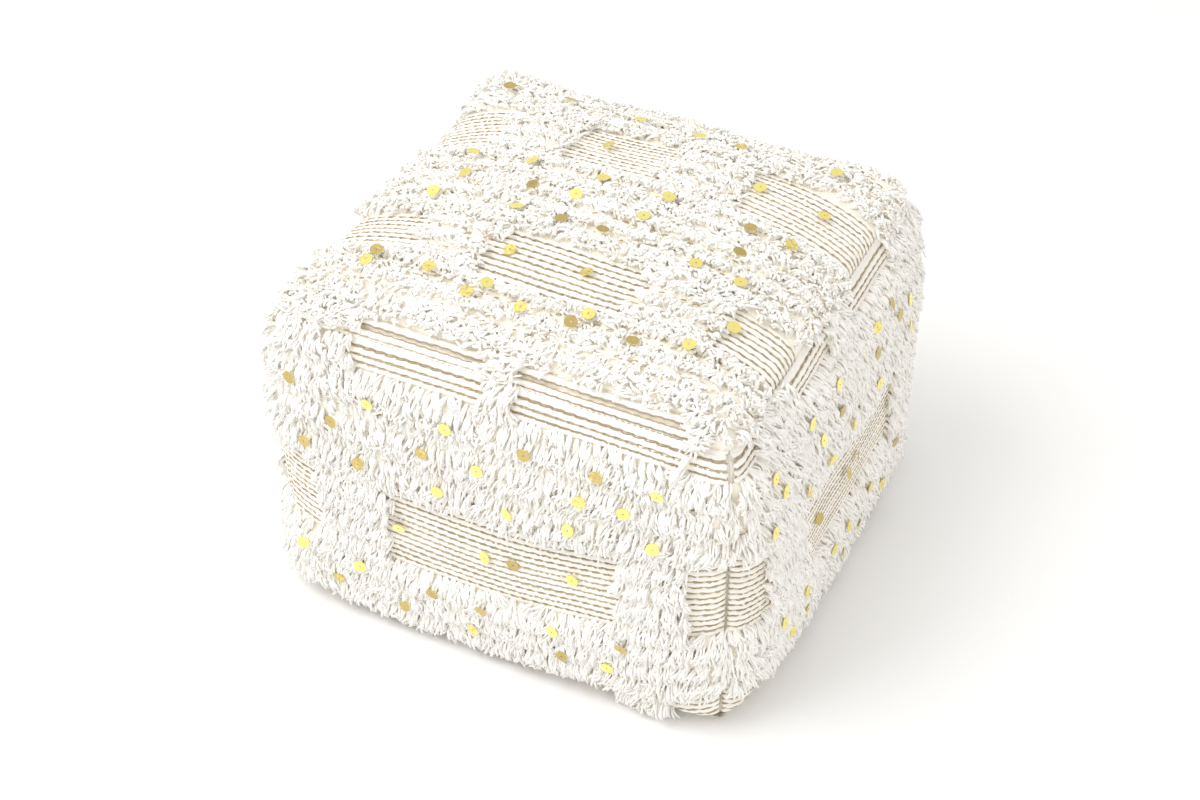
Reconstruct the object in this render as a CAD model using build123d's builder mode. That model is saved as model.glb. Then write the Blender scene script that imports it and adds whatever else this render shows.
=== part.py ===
"""Moroccan wedding-blanket pouf: a soft, block-shaped floor pouf.

The cover is sewn from five panels of hand-woven wool cloth and a plain canvas base in two halves.
Every cloth panel carries bands of cut wool pile, ribbed woven bands and sewn-on metal sequins.
The base halves meet in a shallow recess that holds a zip, and the zip lets out a filled liner bag.

Millimetres, +Z up, front panel towards -Y. The origin is the middle of the footprint, on the floor.
"""
import os
import random
from math import cos, radians, sin, tau

from build123d import *

os.makedirs("parts", exist_ok=True)

# ---------------------------------------------------------------- overall shape, over the pile
base_half_width = 250.0  # half the width where the side walls would meet the floor
base_half_depth = 236.0
top_half_width = 232.0  # half the width where the side walls would meet the top
top_half_depth = 218.0
shoulder_height = 348.0  # where the side walls would meet the top
crown_rise = 32.0  # how far the middle of the top stands above its edges
side_bulge = 12.0  # how far each wall bows out between floor and shoulder
shoulder_radius = 52.0
foot_radius = 44.0
corner_half_width = 248.0  # plan outline, before its corners are rounded
corner_half_depth = 234.0
corner_radius = 64.0
plan_bulge = 12.0

# ---------------------------------------------------------------- layers, measured inwards
pile_height = 14.0
rib_height = 6.0
cloth_thickness = 3.0
canvas_thickness = 2.0
liner_thickness = 1.2
layer_gap = 0.5
filling_gap = 0.3

cloth_inset = pile_height
rib_inset = pile_height - rib_height
cover_inset = cloth_inset + cloth_thickness
liner_inset = cover_inset + layer_gap
liner_bore_inset = liner_inset + liner_thickness
filling_inset = liner_bore_inset + filling_gap
liner_floor = canvas_thickness + layer_gap
liner_bore_floor = liner_floor + liner_thickness
filling_floor = liner_bore_floor + filling_gap

# ---------------------------------------------------------------- seams
top_seam_height = 316.0
base_seam_height = 12.0

# ---------------------------------------------------------------- bands, as (low, high)
# The top's bands run from side to side and are placed along Y.
top_pile_bands = ((130.0, 260.0), (-62.0, 50.0), (-196.0, -130.0))
top_woven_bands = ((50.0, 130.0), (-130.0, -62.0), (-260.0, -196.0))
# The walls' bands run round the block. Their heights are those at the front right corner, and
# between the corners they hang lower, as the cloth does over a soft filling.
upper_edge = 290.0  # the bands above this follow the top seam
hanging_edge = 223.0  # the bands below this hang by the whole of band_rise
wall_pile_bands = ((hanging_edge, upper_edge), (62.0, 131.0))
wall_woven_bands = ((upper_edge, top_seam_height), (131.0, hanging_edge), (base_seam_height, 62.0))
# How far each wall's bands stand above their stated height, as (left end, middle, right end), from outside.
band_rise = {
    "front": (-25.0, -42.0, 0.0),
    "right": (0.0, -44.0, -10.0),
    "back": (-10.0, -40.0, -15.0),
    "left": (-15.0, -42.0, -25.0),
}
# Blocks of pile that break the woven bands, as (middle along the band, width, band number).
top_pile_blocks = ((-110.0, 66.0, 0), (62.0, 70.0, 0), (-95.0, 60.0, 1), (118.0, 72.0, 1))
wall_pile_blocks = ((-138.0, 66.0, 1), (158.0, 56.0, 1), (150.0, 50.0, 2))
# Windows along the top seam, where the pile leaves the woven edge bare, as spans along each wall.
edge_windows = {
    "front": ((-144.0, -10.0), (17.0, 179.0)),
    "right": ((-101.0, -9.0), (25.0, 133.0)),
    "back": ((-150.0, -52.0), (6.0, 128.0)),
    "left": ((-118.0, -22.0), (30.0, 124.0)),
}

# ---------------------------------------------------------------- sequins
sequin_radius = 6.0
sequin_hole_radius = 0.8
sequin_thickness = 0.4
sequin_clearance = 0.4
sequin_tilt_limit = 20.0  # degrees off the cloth
sequin_edge_margin = 62.0  # kept clear of the shoulders and the corner seams
sequin_spacing = 56.0
sequin_spacing_range = (0.8, 1.5)  # shares of the spacing between neighbours in a row
sequin_wander = 0.3  # how far a sequin may stray from its place, as a share of the spacing
sequin_row_start = 0.15
sequin_row_stagger = 0.45
# Rows of sequins: where the row runs, and whether it lies on pile.
top_sequin_rows = (
    (150.0, True), (96.0, False), (28.0, True), (-8.0, True), (-44.0, True),
    (-92.0, False), (-142.0, True), (-156.0, True),
)
wall_sequin_rows = ((278.0, True), (258.0, True), (236.0, True), (178.0, False), (116.0, True), (86.0, True))

# ---------------------------------------------------------------- zip in the base
recess_half_length = 190.0
recess_half_width = 30.0
recess_depth = 7.0
recess_slope = 14.0  # how far the canvas runs in while it rises
zip_slot_half_width = 7.0
tape_half_length = 186.0
tape_inner_edge = 1.5
tape_outer_edge = 13.0
tape_thickness = 0.6
chain_half_length = 160.0
tooth_pitch = 3.2
tooth_length = 2.8
tooth_width = 1.4
tooth_height = 2.2
chain_slit = 0.6  # half the slit that the slider's divider runs in
stop_length = 4.0
slider_length = 14.0
slider_width = 10.0
slider_start = 154.0  # where the closed slider sits along Y
plate_thickness = 1.2
slider_clearance = 0.4
flange_thickness = 0.8
divider_thickness = 0.7
divider_length = 3.0
pin_height = 3.4
pin_radius = 0.6
eye_bore_radius = 0.85
eye_radius = 1.5
eye_length = 3.4
ear_gap = 4.2
ear_thickness = 1.0
ear_length = 2.8
ear_below_pin = 1.2
pull_length = 26.0
pull_width = 7.0
pull_neck_length = 3.2
pull_thickness = 1.2
pull_window_length = 9.0
pull_window_width = 3.0
pull_overlap = 1.0  # how far the tab runs over its neck
tooth_rounding = tooth_width / 3
slider_rounding = slider_width / 3
pull_rounding = pull_width / 2.5

canvas_rise = recess_depth + canvas_thickness  # top of the raised canvas, where the tape lies
liner_recess_height = canvas_rise + 3.2
liner_recess_margin = 3.0

random.seed(21)


# ---------------------------------------------------------------- shape helpers
def soft_block(inset, floor):
    """The pouf's whole form, shrunk by inset on its walls and top, standing at height floor."""
    views = (
        (Plane.XZ, base_half_width, top_half_width, base_half_depth + pile_height, Mode.ADD),
        (Plane.YZ, base_half_depth, top_half_depth, base_half_width + pile_height, Mode.INTERSECT),
    )
    with BuildPart() as block:
        for plane, base_half, top_half, reach, mode in views:
            foot = Vector(base_half - inset, floor)
            shoulder = Vector(top_half - inset, shoulder_height - inset)
            crown = Vector(0, shoulder_height + crown_rise - inset)
            waist = (foot + shoulder) / 2 + Vector(side_bulge, 0)
            with BuildSketch(plane) as outline:
                with BuildLine():
                    Line((-foot.X, foot.Y), (foot.X, foot.Y))
                    ThreePointArc((foot.X, foot.Y), (waist.X, waist.Y), (shoulder.X, shoulder.Y))
                    ThreePointArc((shoulder.X, shoulder.Y), (crown.X, crown.Y), (-shoulder.X, shoulder.Y))
                    ThreePointArc((-shoulder.X, shoulder.Y), (-waist.X, waist.Y), (-foot.X, foot.Y))
                make_face()
                fillet(outline.vertices().group_by(Axis.Y)[0], foot_radius - inset)
                fillet(outline.vertices().group_by(Axis.Y)[-1], shoulder_radius - inset)
            extrude(amount=reach, both=True, mode=mode)
        with BuildSketch(Plane.XY) as plan:
            x = corner_half_width - inset
            y = corner_half_depth - inset
            with BuildLine():
                ThreePointArc((x, -y), (x + plan_bulge, 0), (x, y))
                ThreePointArc((x, y), (0, y + plan_bulge), (-x, y))
                ThreePointArc((-x, y), (-x - plan_bulge, 0), (-x, -y))
                ThreePointArc((-x, -y), (0, -y - plan_bulge), (x, -y))
            make_face()
            fillet(plan.vertices(), corner_radius - inset)
        extrude(amount=shoulder_height + crown_rise, mode=Mode.INTERSECT)
    return block.part


def shell(outer_inset, inner_inset, inner_floor):
    """One layer of the cover between two insets, hollow above inner_floor."""
    outer = soft_block(outer_inset, 0)
    inner = soft_block(inner_inset, inner_floor)
    with BuildPart() as layer:
        add(outer)
        add(inner, mode=Mode.SUBTRACT)
    return layer.part


def slab(x_span, y_span, z_span):
    """A plain block between three pairs of limits."""
    with BuildPart() as block:
        with BuildSketch(Plane.XY.offset(z_span[0])):
            with Locations(((x_span[0] + x_span[1]) / 2, (y_span[0] + y_span[1]) / 2)):
                Rectangle(x_span[1] - x_span[0], y_span[1] - y_span[0])
        extrude(amount=z_span[1] - z_span[0])
    return block.part


far = 400.0  # past the pouf in every direction
everywhere = (-far, far)


def covered(windows):
    """The spans along a wall that its windows leave under the pile."""
    edges = [-far, *(edge for window in windows for edge in window), far]
    return list(zip(edges[::2], edges[1::2]))


walls = {
    "front": Plane(origin=(0, 0, 0), x_dir=(1, 0, 0), z_dir=(0, -1, 0)),
    "right": Plane(origin=(0, 0, 0), x_dir=(0, 1, 0), z_dir=(1, 0, 0)),
    "back": Plane(origin=(0, 0, 0), x_dir=(-1, 0, 0), z_dir=(0, 1, 0)),
    "left": Plane(origin=(0, 0, 0), x_dir=(0, -1, 0), z_dir=(-1, 0, 0)),
}


def half_length(wall):
    """Half a wall's length between its corner seams."""
    return corner_half_width if wall in ("front", "back") else corner_half_depth


def hanging(height):
    """The share of band_rise that a band at this height takes."""
    if height <= base_seam_height:
        return 0.0
    return min(max((upper_edge - height) / (upper_edge - hanging_edge), 0.0), 1.0)


def band_height(wall, height, place):
    """Where a band of a stated height runs at a place along the wall, from -1 to 1."""
    left, middle, right = band_rise[wall]
    rise = middle + (right - left) / 2 * place + ((left + right) / 2 - middle) * place**2
    return height + hanging(height) * rise


def wall_wedge(side):
    """The quarter of space in front of one wall, cut off along the corner seams."""
    corner = Vector(corner_half_width, corner_half_depth) * 2
    ends = {
        "front": ((-corner.X, -corner.Y), (corner.X, -corner.Y)),
        "right": ((corner.X, -corner.Y), (corner.X, corner.Y)),
        "back": ((corner.X, corner.Y), (-corner.X, corner.Y)),
        "left": ((-corner.X, corner.Y), (-corner.X, -corner.Y)),
    }
    with BuildPart() as wedge:
        with BuildSketch(Plane.XY.offset(base_seam_height)):
            with BuildLine():
                Polyline((0, 0), *ends[side], close=True)
            make_face()
        extrude(amount=top_seam_height - base_seam_height)
    return wedge.part


def wall_band(wall, low, high, span=None):
    """The space in front of one wall between two hanging edges, all along it or over a span of it."""
    end = half_length(wall)
    with BuildPart() as band:
        with BuildSketch(walls[wall]):
            with BuildLine():
                for height in (low, high):
                    left = (-end, band_height(wall, height, -1))
                    right = (end, band_height(wall, height, 1))
                    if hanging(height) > 0:
                        ThreePointArc(left, (0, band_height(wall, height, 0)), right)
                    else:
                        Line(left, right)
                for place in (-1, 1):
                    Line(
                        (place * end, band_height(wall, low, place)),
                        (place * end, band_height(wall, high, place)),
                    )
            make_face()
            if span:
                with Locations((sum(span) / 2, 0)):
                    Rectangle(span[1] - span[0], 2 * far, mode=Mode.INTERSECT)
        extrude(amount=far)
    return band.part


def keep(layer, regions, cut_by=()):
    """The part of a layer inside any of the regions and outside every one of cut_by."""
    with BuildPart() as mask:
        for region in regions:
            add(region)
        for region in cut_by:
            add(region, mode=Mode.SUBTRACT)
    with BuildPart() as piece:
        add(layer)
        add(mask.part, mode=Mode.INTERSECT)
    return piece.part


def save(piece, name):
    """Label one finished piece and write it out."""
    piece.label = name
    export_step(piece, f"parts/{name}.step")


# ---------------------------------------------------------------- layers shared by the panels
cloth_layer = shell(cloth_inset, cover_inset, canvas_thickness)
pile_layer = shell(0, pile_height - layer_gap, 0)
rib_layer = shell(rib_inset, pile_height - layer_gap, 0)
above_seam = (top_seam_height, far)

# ---------------------------------------------------------------- top panel
top_blocks = [
    slab((middle - width / 2, middle + width / 2), top_woven_bands[band], above_seam)
    for middle, width, band in top_pile_blocks
]
top_blocks += [slab(span, top_woven_bands[-1], above_seam) for span in covered(edge_windows["front"])]
top_pile_regions = [slab(everywhere, band, above_seam) for band in top_pile_bands] + top_blocks
top_woven_regions = [slab(everywhere, band, above_seam) for band in top_woven_bands]

with BuildPart() as top_panel:
    add(cloth_layer)
    split(bisect_by=Plane.XY.offset(top_seam_height), keep=Keep.TOP)
top_panel.part.label = "top_panel"
export_step(top_panel.part, "parts/top_panel.step")

save(keep(pile_layer, top_pile_regions), "top_pile")
save(keep(rib_layer, top_woven_regions, top_blocks), "top_woven_bands")

# ---------------------------------------------------------------- four wall panels
for wall in walls:
    wedge = wall_wedge(wall)
    blocks = [
        wall_band(wall, *wall_woven_bands[band], span=(middle - width / 2, middle + width / 2))
        for middle, width, band in wall_pile_blocks
    ]
    blocks += [wall_band(wall, *wall_woven_bands[0], span=span) for span in covered(edge_windows[wall])]
    pile_regions = [wall_band(wall, *band) for band in wall_pile_bands] + blocks
    woven_regions = [wall_band(wall, *band) for band in wall_woven_bands]
    save(keep(cloth_layer, [wedge]), f"{wall}_panel")
    save(keep(keep(pile_layer, pile_regions), [wedge]), f"{wall}_pile")
    save(keep(keep(rib_layer, woven_regions, blocks), [wedge]), f"{wall}_woven_bands")


# ---------------------------------------------------------------- sequins
def wall_reach(base_half, top_half, height):
    """How far a wall stands from the middle at a height, over the pile."""
    rise = height / shoulder_height
    return base_half + (top_half - base_half) * rise + 4 * side_bulge * rise * (1 - rise)


def crown_height(x, y):
    """Height of the top over the pile, and the slope there as (along X, along Y)."""
    across = (x / top_half_width) ** 2
    along = (y / top_half_depth) ** 2
    if across > along:
        return shoulder_height + crown_rise * (1 - across), (2 * crown_rise * x / top_half_width**2, 0)
    return shoulder_height + crown_rise * (1 - along), (0, 2 * crown_rise * y / top_half_depth**2)


def sequin_plane(point, outward, on_pile):
    """A tilted plane for one sequin, lifted so that its low edge clears what it lies on."""
    depth = 0 if on_pile else rib_inset
    tilt = radians(random.uniform(0, sequin_tilt_limit))
    turn = random.uniform(0, tau)
    outward = outward.normalized()
    sideways = outward.cross(Vector(0.3, 0.5, 0.8)).normalized()
    across = outward.cross(sideways)
    lean = sideways * cos(turn) + across * sin(turn)
    lift = sequin_clearance + sequin_radius * sin(tilt)
    return Plane(origin=point + outward * (lift - depth), z_dir=outward * cos(tilt) + lean * sin(tilt))


def row_places(half_row, row):
    """Uneven places along a row, staggered from one row to the next."""
    reach = half_row - sequin_edge_margin
    place = -reach + sequin_spacing * (sequin_row_start + sequin_row_stagger * (row % 2))
    while place < reach:
        yield place + random.uniform(-sequin_wander, sequin_wander) * sequin_spacing
        place += sequin_spacing * random.uniform(*sequin_spacing_range)


def clear_of(place, blocks, band, margin):
    """Whether a place along a woven band is clear of the pile blocks that break it."""
    return all(abs(place - middle) > width / 2 + margin for middle, width, b in blocks if b == band)


def sew_sequins(planes, name):
    """One node of thin round sequins, each with its thread hole."""
    with BuildPart() as sequins:
        with BuildSketch(*planes):
            Circle(sequin_radius)
            Circle(sequin_hole_radius, mode=Mode.SUBTRACT)
        extrude(amount=sequin_thickness)
    save(sequins.part, name)


block_margin = sequin_radius + 4.0
top_planes = []
for row, (y, on_pile) in enumerate(top_sequin_rows):
    band = 0 if y > 0 else 1
    for x in row_places(top_half_width, row):
        if not on_pile and not clear_of(x, top_pile_blocks, band, block_margin):
            continue
        z, (slope_x, slope_y) = crown_height(x, y)
        top_planes.append(sequin_plane(Vector(x, y, z), Vector(slope_x, slope_y, 1), on_pile))
sew_sequins(top_planes, "top_sequins")

for wall, wall_plane in walls.items():
    facing_y = wall in ("front", "back")
    base_half, top_half = (
        (base_half_depth, top_half_depth) if facing_y else (base_half_width, top_half_width)
    )
    wall_planes = []
    for row, (height, on_pile) in enumerate(wall_sequin_rows):
        for place in row_places(half_length(wall), row):
            if not on_pile and not clear_of(place, wall_pile_blocks, 1, block_margin):
                continue
            z = band_height(wall, height, place / half_length(wall))
            step = 1.0
            reach = wall_reach(base_half, top_half, z)
            slope = reach - wall_reach(base_half, top_half, z + step)
            point = wall_plane.from_local_coords(Vector(place, z, reach))
            outward = wall_plane.z_dir + Vector(0, 0, slope / step)
            wall_planes.append(sequin_plane(point, outward, on_pile))
    sew_sequins(wall_planes, f"{wall}_sequins")

# ---------------------------------------------------------------- canvas base in two halves
base_shell = keep(cloth_layer, [slab(everywhere, everywhere, (0, base_seam_height))])
recess_span = (-recess_half_length, recess_half_length)
recess_slab = slab((-recess_half_width, recess_half_width), recess_span, (-1, base_seam_height))
for half, sign in (("left", -1), ("right", 1)):
    side_slab = slab((0, far) if sign > 0 else (-far, 0), everywhere, (0, base_seam_height))
    with BuildPart() as base_half:
        add(base_shell)
        add(side_slab, mode=Mode.INTERSECT)
        add(recess_slab, mode=Mode.SUBTRACT)
        with BuildSketch(Plane.XZ):
            with BuildLine():
                Polyline(
                    (sign * recess_half_width, 0),
                    (sign * (recess_half_width - recess_slope), recess_depth),
                    (sign * zip_slot_half_width, recess_depth),
                    (sign * zip_slot_half_width, canvas_rise),
                    (sign * (recess_half_width - recess_slope + canvas_thickness / 2), canvas_rise),
                    (sign * (recess_half_width + canvas_thickness / 2), canvas_thickness),
                    (sign * (recess_half_width + canvas_thickness / 2), 0),
                    close=True,
                )
            make_face()
        extrude(amount=recess_half_length, both=True)
        with BuildSketch(Plane.XY):
            with GridLocations(0, 2 * recess_half_length + canvas_thickness, 1, 2):
                with Locations((sign * recess_half_width / 2, 0)):
                    Rectangle(recess_half_width, canvas_thickness)
        extrude(amount=canvas_rise)
    base_half.part.label = f"base_{half}_half"
    export_step(base_half.part, f"parts/base_{half}_half.step")


# ---------------------------------------------------------------- liner bag and filling
def above_recess(inset, floor, margin):
    """The soft form with a groove underneath that clears the raised zip."""
    form = soft_block(inset, floor)
    reach = recess_half_width + liner_recess_margin + margin
    length = recess_half_length + liner_recess_margin + margin
    groove = slab((-reach, reach), (-length, length), (-1, liner_recess_height + margin))
    with BuildPart() as bag:
        add(form)
        add(groove, mode=Mode.SUBTRACT)
    return bag.part


liner_outside = above_recess(liner_inset, liner_floor, 0)
liner_inside = above_recess(liner_bore_inset, liner_bore_floor, liner_thickness)
with BuildPart() as liner_bag:
    add(liner_outside)
    add(liner_inside, mode=Mode.SUBTRACT)
liner_bag.part.label = "liner_bag"
export_step(liner_bag.part, "parts/liner_bag.step")

filling = above_recess(filling_inset, filling_floor, liner_thickness + filling_gap)
save(filling, "filling")

# ---------------------------------------------------------------- zip chain
tape_top = canvas_rise + tape_thickness
for half, sign in (("left", -1), ("right", 1)):
    with BuildPart() as zip_tape:
        with BuildSketch(Plane.XY.offset(canvas_rise)):
            with Locations((sign * (tape_inner_edge + tape_outer_edge) / 2, 0)):
                Rectangle(tape_outer_edge - tape_inner_edge, 2 * tape_half_length)
        extrude(amount=tape_thickness)
    zip_tape.part.label = f"zip_tape_{half}"
    export_step(zip_tape.part, f"parts/zip_tape_{half}.step")

    with BuildPart() as zip_teeth:
        teeth_in_row = round(2 * chain_half_length / tooth_pitch)
        with BuildSketch(Plane.XY.offset(canvas_rise - tooth_height)):
            with Locations((sign * (chain_slit + tooth_length / 2), sign * tooth_pitch / 4)):
                with GridLocations(0, tooth_pitch, 1, teeth_in_row):
                    RectangleRounded(tooth_length, tooth_width, tooth_rounding)
        extrude(amount=tooth_height)
    zip_teeth.part.label = f"zip_teeth_{half}"
    export_step(zip_teeth.part, f"parts/zip_teeth_{half}.step")

stop_middle = chain_half_length + stop_length
with BuildPart() as zip_top_stops:
    with BuildSketch(Plane.XY.offset(canvas_rise - tooth_height)):
        with Locations((0, stop_middle)):
            with GridLocations(2 * chain_slit + tooth_length, 0, 2, 1):
                Rectangle(tooth_length, stop_length)
    extrude(amount=tooth_height)
zip_top_stops.part.label = "zip_top_stops"
export_step(zip_top_stops.part, "parts/zip_top_stops.step")

with BuildPart() as zip_bottom_stop:
    with BuildSketch(Plane.XY.offset(canvas_rise - tooth_height)):
        with Locations((0, -stop_middle)):
            Rectangle(2 * (chain_slit + tooth_length), stop_length)
    extrude(amount=tooth_height)
zip_bottom_stop.part.label = "zip_bottom_stop"
export_step(zip_bottom_stop.part, "parts/zip_bottom_stop.step")

# ---------------------------------------------------------------- zip slider
outer_plate_top = canvas_rise - tooth_height - slider_clearance
outer_plate_bottom = outer_plate_top - plate_thickness
inner_plate_bottom = tape_top + slider_clearance
with BuildPart() as zip_slider:
    for plate_bottom in (outer_plate_bottom, inner_plate_bottom):
        with BuildSketch(Plane.XY.offset(plate_bottom)):
            with Locations((0, slider_start)):
                RectangleRounded(slider_width, slider_length, slider_rounding)
        extrude(amount=plate_thickness)
    with BuildSketch(Plane.XY.offset(outer_plate_top)):
        with Locations((0, slider_start + slider_length / 2 - divider_length)):
            Rectangle(divider_thickness, divider_length)
    extrude(amount=inner_plate_bottom - outer_plate_top)
    with BuildSketch(Plane.XY.offset(outer_plate_top)):
        with Locations((0, slider_start)):
            with GridLocations(slider_width - flange_thickness, 0, 2, 1):
                Rectangle(flange_thickness, slider_length / 2)
    extrude(amount=canvas_rise - slider_clearance - outer_plate_top)
    with BuildSketch(Plane.XY.offset(pin_height - ear_below_pin)):
        with Locations((0, slider_start)):
            with GridLocations(ear_gap + ear_thickness, 0, 2, 1):
                Rectangle(ear_thickness, ear_length)
    extrude(amount=outer_plate_bottom - pin_height + ear_below_pin)
    with BuildSketch(Plane.YZ.offset(-ear_gap / 2)):
        with Locations((slider_start, pin_height)):
            Circle(pin_radius)
    extrude(amount=ear_gap)
zip_slider.part.label = "zip_slider"
export_step(zip_slider.part, "parts/zip_slider.step")

# ---------------------------------------------------------------- pull tab, lying along the zip
with BuildPart() as zip_pull:
    with BuildSketch(Plane.YZ.offset(-eye_length / 2)):
        with Locations((slider_start, pin_height)):
            Circle(eye_radius)
    extrude(amount=eye_length)
    with BuildSketch(Plane.XY.offset(pin_height - pull_thickness / 2)):
        with Locations((0, slider_start + pull_neck_length / 2)):
            Rectangle(eye_length, pull_neck_length)
        with Locations((0, slider_start + pull_neck_length + pull_length / 2 - pull_overlap)):
            RectangleRounded(pull_width, pull_length, pull_rounding)
        with Locations((0, slider_start + pull_length - pull_window_length / 2)):
            SlotOverall(pull_window_length, pull_window_width, rotation=90, mode=Mode.SUBTRACT)
    extrude(amount=pull_thickness)
    with BuildSketch(Plane.YZ.offset(-eye_length / 2)):
        with Locations((slider_start, pin_height)):
            Circle(eye_bore_radius)
    extrude(amount=eye_length, mode=Mode.SUBTRACT)
zip_pull.part.label = "zip_pull"
export_step(zip_pull.part, "parts/zip_pull.step")
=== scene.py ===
"""Moroccan wedding-blanket pouf: soft shapes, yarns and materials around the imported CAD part.

A cloth simulation swells the filled liner between its seams. Every cover panel is laid over that
liner, and its ribs, threads and cut pile are grown from the panel's own surface. The canvas base and
the zip's tapes become cloth too. The zip's hard parts and the sequins stay CAD pieces with materials.

The CAD model's frame is kept. Shapes are worked out in millimetres and stored in metres.
"""
import math

import bpy
import numpy as np
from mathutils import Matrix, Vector, noise
from mathutils.bvhtree import BVHTree


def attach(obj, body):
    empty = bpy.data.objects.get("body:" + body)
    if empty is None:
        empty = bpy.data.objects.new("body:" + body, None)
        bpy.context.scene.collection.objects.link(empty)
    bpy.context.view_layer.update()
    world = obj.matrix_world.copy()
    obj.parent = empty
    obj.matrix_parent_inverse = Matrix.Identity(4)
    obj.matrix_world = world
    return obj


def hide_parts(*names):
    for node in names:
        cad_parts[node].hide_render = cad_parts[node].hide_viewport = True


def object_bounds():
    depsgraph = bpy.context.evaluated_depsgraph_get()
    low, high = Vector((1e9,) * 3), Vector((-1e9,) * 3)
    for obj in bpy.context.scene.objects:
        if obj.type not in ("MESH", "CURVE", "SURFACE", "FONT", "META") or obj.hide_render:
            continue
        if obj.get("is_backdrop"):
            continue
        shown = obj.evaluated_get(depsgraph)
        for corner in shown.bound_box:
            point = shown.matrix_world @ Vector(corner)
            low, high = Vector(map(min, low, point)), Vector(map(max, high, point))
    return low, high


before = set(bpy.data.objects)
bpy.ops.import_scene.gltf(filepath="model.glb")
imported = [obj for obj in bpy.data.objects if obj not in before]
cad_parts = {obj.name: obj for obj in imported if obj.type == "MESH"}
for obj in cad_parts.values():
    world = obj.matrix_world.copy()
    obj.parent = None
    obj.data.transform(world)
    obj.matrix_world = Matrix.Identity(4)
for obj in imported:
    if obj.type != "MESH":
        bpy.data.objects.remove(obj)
cad_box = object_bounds()

MM = 0.001
rng = np.random.default_rng(7)

# ---------------------------------------------------------------- shape of the cover (mm)
top_seam_height = 316.0
base_seam_height = 12.0
top_straight = (180.0, 166.0)  # half the flat middle of the top, along X and Y
top_bend_radius = 38.0
top_bend_angle = math.radians(58.2)  # how far the cloth turns over the shoulder before the seam
top_ray_height = 296.0
wall_straight = {"front": 184.0, "right": 170.0, "back": 184.0, "left": 170.0}
wall_corner_half = {"front": 248.0, "right": 234.0, "back": 248.0, "left": 234.0}
wall_bend_radius = 50.0
wall_bend_angle = math.radians(45.0)
base_straight = (190.0, 176.0)
base_bend_radius = 35.5
base_bend_angle = math.radians(64.5)
base_ray_height = 29.0
zip_slot_half_width = 7.0
cloth_over_filling = 5.0  # from the filling's skin to the outside of the cloth
cloth_thickness = 1.8
canvas_thickness = 1.8
table_step = 4.0  # spacing of the measured surface points
seam_depth = 3.0
seam_width = 6.0

# ---------------------------------------------------------------- bands (mm along the cloth)
top_pile_bands = ((130.0, 204.0), (-62.0, 50.0), (-187.0, -130.0))
top_woven_bands = ((50.0, 130.0), (-130.0, -62.0))
top_edge_strip = (-204.0, -188.0)
top_pile_blocks = ((-110.0, 66.0, 0), (62.0, 70.0, 0), (-95.0, 60.0, 1), (118.0, 72.0, 1))
upper_edge = 290.0
hanging_edge = 223.0
wall_pile_bands = ((hanging_edge, upper_edge), (62.0, 131.0))
wall_woven_bands = ((131.0, hanging_edge), (base_seam_height, 62.0))
wall_edge_strip = (upper_edge, top_seam_height)
# Where the pile leaves the cloth bare along the top seam, as spans along each side.
edge_windows = {
    "front": ((-144.0, -10.0), (17.0, 179.0)),
    "right": ((-101.0, -9.0), (25.0, 133.0)),
    "back": ((-150.0, -52.0), (6.0, 128.0)),
    "left": ((-118.0, -22.0), (30.0, 124.0)),
}
corner_windows = {"front": ((188.0, 400.0),), "right": ((-400.0, -172.0),), "back": (), "left": ()}
wall_pile_blocks = ((-138.0, 66.0, 0), (158.0, 56.0, 0), (150.0, 50.0, 1))
band_rise = {
    "front": (-25.0, -42.0, 0.0),
    "right": (0.0, -44.0, -10.0),
    "back": (-10.0, -40.0, -15.0),
    "left": (-15.0, -42.0, -25.0),
}

# ---------------------------------------------------------------- yarns (mm)
rib_pitch = 6.6
rib_half_width = 3.2
rib_height = 2.7
rib_lay = 11.0  # length of one whole twist of the two plies
thread_radius = 0.7
thread_wave = 11.0
pair_radius = 0.5
pair_gap = 2.8  # between the two threads of a pair
thread_lift = 2.0  # over the cloth
thread_dip = 0.5
thread_dip_phase = 1.0
thread_drift = 0.5
thread_drift_length = 30.0
thread_sway = 0.8
pair_sway = 0.3
rib_step = 1.5
thread_step = 1.4
rib_corners = 8
thread_corners = 5
rib_sway = 0.35
rib_sway_length = 18.0
rib_swell = 0.06
rib_swell_length = 25.0
rib_tip = 0.08  # share of its thickness that a rib has at its ends
ply_waist = 0.80  # share of a rib's thickness in the groove between its two plies
ply_lobe = 0.26
shortest_run = 6  # steps
foot_margin = 3.0  # from the base seam to the lowest row of yarn
rib_flatness = 0.75
rib_base = 0.35  # height of a rib's middle, as a share of its half height
tuft_spacing = 7.0
strands_per_tuft = 8
strand_radius = 1.2
strand_rings = 5
strand_corners = 4
strand_taper = (0.8, 1.0, 1.05, 1.05, 0.95)  # share of the radius at each ring
strand_plumpness = (0.85, 1.15)
strand_height = (9.5, 16.0)
strand_reach = (4.5, 13.0)  # how far a tip lies aside from its knot
strand_lean_power = 1.5  # over one, so that a strand starts upright and then leans
strand_curl = 2.5
strand_sag = 3.5  # how far the tips hang on a wall
strand_scatter = 0.9
strands_per_piece = 5500
tuft_margin = 1.0  # to the side seams
tuft_foot_margin = 2.0
tuft_scatter = (1.6, 1.8)  # along and across its row
swirl = 1.3  # how far the lean of the pile wanders, in radians
swirl_size = 30.0
swirl_seed = 3
swirl_shift = 900.0
lean_spread = 0.45  # of each tuft, and again of each strand in it
parting_pitch = 23.0
parting_lean = 1.1
parting_depth = 0.35  # how much shorter the pile stands along a parting
wall_droop = 0.5
pile_swell = 0.12  # how far the pile's height drifts
pile_swell_size = 40.0
pile_swell_seed = 11
pile_swell_shift = 500.0
pile_overlap = 4.0  # how far the pile's back row stands past the edge of its band
root_height = 5.5  # up to where the crowded roots of the pile look solid
root_slope = 8.0
root_step = 3.0
root_lump = 0.25
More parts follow.
